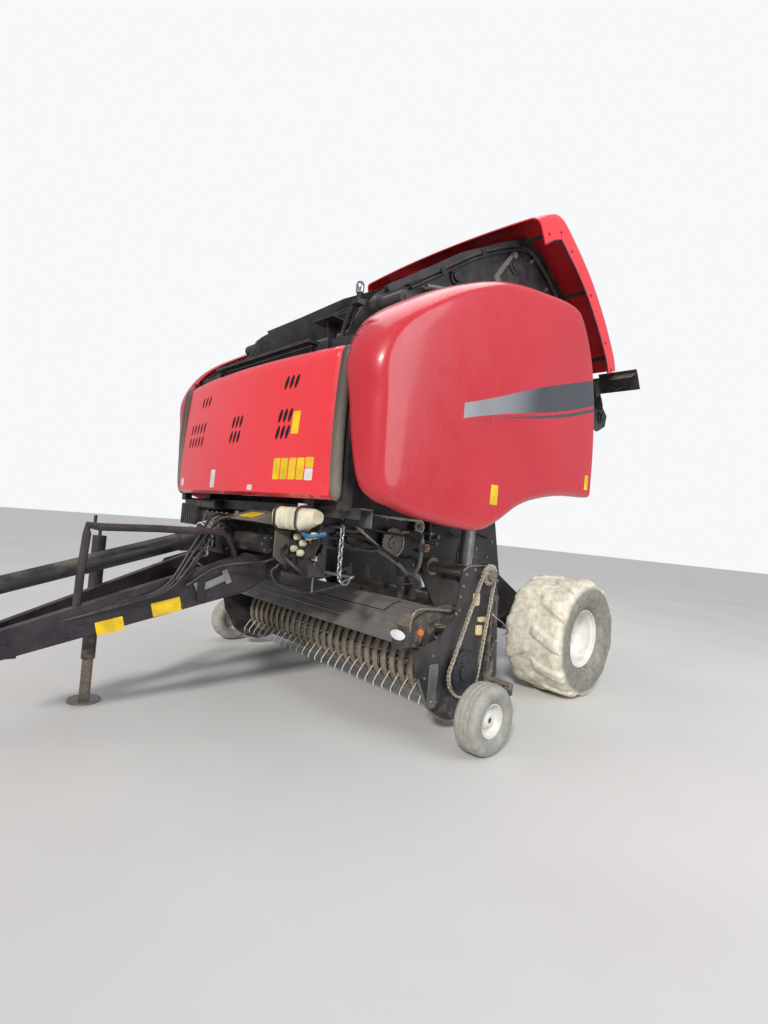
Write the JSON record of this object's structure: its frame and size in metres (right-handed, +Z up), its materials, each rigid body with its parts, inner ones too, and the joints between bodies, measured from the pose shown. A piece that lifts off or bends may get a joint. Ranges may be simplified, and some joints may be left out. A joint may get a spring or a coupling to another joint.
{
  "type": "round baler",
  "caption": "Trailed round baler with its tailgate raised: pickup reel, feed rotor, belt chamber, hinged side shields, drawbar, jack and drive line.",
  "frame": {"origin": "middle of the footprint, on the ground", "axes": "+X to the machine's left, +Y to its rear, +Z up"},
  "size_m": [3.015, 5.1002, 3.7069],
  "materials": {
    "red_paint": "glossy red paint, dusty",
    "black_paint": "satin black paint, dusty",
    "white_paint": "off-white rim paint",
    "bare_steel": "worn bare steel",
    "chrome": "polished rod",
    "tyre_rubber": "black rubber with dried mud",
    "belt_rubber": "ribbed belt rubber",
    "strip_rubber": "dull brown rubber strip",
    "cream_plastic": "cream moulded plastic",
    "grey_plastic": "dark guard tube"
  },
  "bodies": {
    "chassis": {"axle_beam": "black_paint", "front_frame": "black_paint", "pivot_beam": "black_paint", "front_belts": "belt_rubber", "roof_grille": "black_paint", "drawbar": "black_paint", "gearbox": "black_paint", "tank": "cream_plastic", "valve_block": "black_paint", "chamber_wall_left": "black_paint", "chamber_wall_right": "black_paint", "pickup_shaft_left": "bare_steel", "pickup_shaft_right": "bare_steel", "foot_pin_left": "bare_steel", "foot_pin_right": "bare_steel", "seal_strip_left": "strip_rubber", "seal_strip_right": "strip_rubber"},
    "main_wheel_left": {"main_tyre_left": "tyre_rubber", "main_rim_left": "white_paint"},
    "main_wheel_right": {"main_tyre_right": "tyre_rubber", "main_rim_right": "white_paint"},
    "pickup": {"pickup_plate_left": "black_paint", "pickup_plate_right": "black_paint", "pickup_cross": "bare_steel", "chain_drive": "bare_steel", "gauge_arm_left": "black_paint", "gauge_arm_right": "black_paint"},
    "reel": {"reel": "bare_steel"},
    "gauge_wheel_left": {"gauge_tyre_left": "tyre_rubber", "gauge_rim_left": "white_paint"},
    "gauge_wheel_right": {"gauge_tyre_right": "tyre_rubber", "gauge_rim_right": "white_paint"},
    "wind_guard": {"wind_guard": "black_paint"},
    "rotor": {"rotor": "bare_steel"},
    "tailgate": {"tailgate_plate_left": "black_paint", "tailgate_plate_right": "black_paint", "tailgate_belts": "belt_rubber", "tailgate_cross": "black_paint", "hood": "red_paint", "rear_cover": "red_paint", "light_bracket_left": "black_paint", "light_bracket_right": "black_paint"},
    "barrel_left": {"cylinder_barrel_left": "black_paint"},
    "barrel_right": {"cylinder_barrel_right": "black_paint"},
    "rod_left": {"cylinder_rod_left": "chrome"},
    "rod_right": {"cylinder_rod_right": "chrome"},
    "shield_left": {"shield_left": "red_paint"},
    "shield_right": {"shield_right": "red_paint"},
    "front_panel": {"front_panel": "red_paint"},
    "jack": {"jack_tube": "black_paint"},
    "jack_leg": {"jack_leg": "bare_steel"},
    "drive_line_rear": {"drive_line_rear": "grey_plastic"},
    "drive_line_front": {"drive_line_front": "grey_plastic"}
  },
  "joints": [
    {"name": "main_wheel_left_spin", "type": "hinge", "parent": "chassis", "child": "main_wheel_left", "pos_m": [1.034, 1.272, 0.45], "axis": [1, 0, 0], "continuous": true},
    {"name": "main_wheel_right_spin", "type": "hinge", "parent": "chassis", "child": "main_wheel_right", "pos_m": [-1.034, 1.272, 0.45], "axis": [1, 0, 0], "continuous": true},
    {"name": "pickup_lift", "type": "hinge", "parent": "chassis", "child": "pickup", "pos_m": [0, 0.084, 0.929], "axis": [-1, 0, 0], "range_deg": [0, 20]},
    {"name": "reel_spin", "type": "hinge", "parent": "pickup", "child": "reel", "pos_m": [0, -0.095, 0.351], "axis": [1, 0, 0], "continuous": true},
    {"name": "gauge_wheel_left_spin", "type": "hinge", "parent": "pickup", "child": "gauge_wheel_left", "pos_m": [1.43, -0.228, 0.193], "axis": [1, 0, 0], "continuous": true},
    {"name": "gauge_wheel_right_spin", "type": "hinge", "parent": "pickup", "child": "gauge_wheel_right", "pos_m": [-1.43, -0.228, 0.193], "axis": [1, 0, 0], "continuous": true},
    {"name": "wind_guard_lift", "type": "hinge", "parent": "pickup", "child": "wind_guard", "pos_m": [0, -0.148, 0.72], "axis": [-1, 0, 0], "range_deg": [0, 25]},
    {"name": "rotor_spin", "type": "hinge", "parent": "chassis", "child": "rotor", "pos_m": [0, 0.372, 0.62], "axis": [1, 0, 0], "continuous": true},
    {"name": "tailgate_lift", "type": "hinge", "parent": "chassis", "child": "tailgate", "pos_m": [0, -0.578, 2.5], "axis": [1, 0, 0], "range_deg": [-33, 1]},
    {"name": "barrel_left_swing", "type": "hinge", "parent": "chassis", "child": "barrel_left", "pos_m": [0.785, 0.312, 0.86], "axis": [1, 0, 0], "range_deg": [-1, 1]},
    {"name": "rod_left_slide", "type": "slide", "parent": "barrel_left", "child": "rod_left", "axis": [0, 0.065, 0.9979], "range_m": [-0.5921, 0.0189]},
    {"name": "barrel_right_swing", "type": "hinge", "parent": "chassis", "child": "barrel_right", "pos_m": [-0.785, 0.312, 0.86], "axis": [1, 0, 0], "range_deg": [-1, 1]},
    {"name": "rod_right_slide", "type": "slide", "parent": "barrel_right", "child": "rod_right", "axis": [0, 0.065, 0.9979], "range_m": [-0.5921, 0.0189]},
    {"name": "shield_left_open", "type": "hinge", "parent": "chassis", "child": "shield_left", "pos_m": [1, 1.272, 2.7], "axis": [0, -1, 0], "range_deg": [0, 75]},
    {"name": "shield_right_open", "type": "hinge", "parent": "chassis", "child": "shield_right", "pos_m": [-1, 1.272, 2.7], "axis": [0, 1, 0], "range_deg": [0, 75]},
    {"name": "front_panel_open", "type": "hinge", "parent": "chassis", "child": "front_panel", "pos_m": [0, -0.956, 2.1], "axis": [-1, 0, 0], "range_deg": [0, 60]},
    {"name": "jack_swing", "type": "hinge", "parent": "chassis", "child": "jack", "pos_m": [-0.33, -1.728, 0.64], "axis": [-1, 0, 0], "range_deg": [0, 90]},
    {"name": "jack_leg_slide", "type": "slide", "parent": "jack", "child": "jack_leg", "axis": [0, 0, 1], "range_m": [0, 0.22]},
    {"name": "drive_line_swing", "type": "hinge", "parent": "chassis", "child": "drive_line_rear", "pos_m": [0, -1.288, 1.01], "axis": [-1, 0, 0], "range_deg": [-2, 8]},
    {"name": "drive_line_slide", "type": "slide", "parent": "drive_line_rear", "child": "drive_line_front", "axis": [0, -0.9613, -0.2756], "range_m": [-0.36, 0.05]}
  ],
  "couplings": [
    {"joint": "barrel_left_swing", "follows": "tailgate_lift", "ratio": 0.007958},
    {"joint": "rod_left_slide", "follows": "tailgate_lift", "m_per_rad": 1.0262},
    {"joint": "barrel_right_swing", "follows": "tailgate_lift", "ratio": 0.007958},
    {"joint": "rod_right_slide", "follows": "tailgate_lift", "m_per_rad": 1.0262}
  ]
}
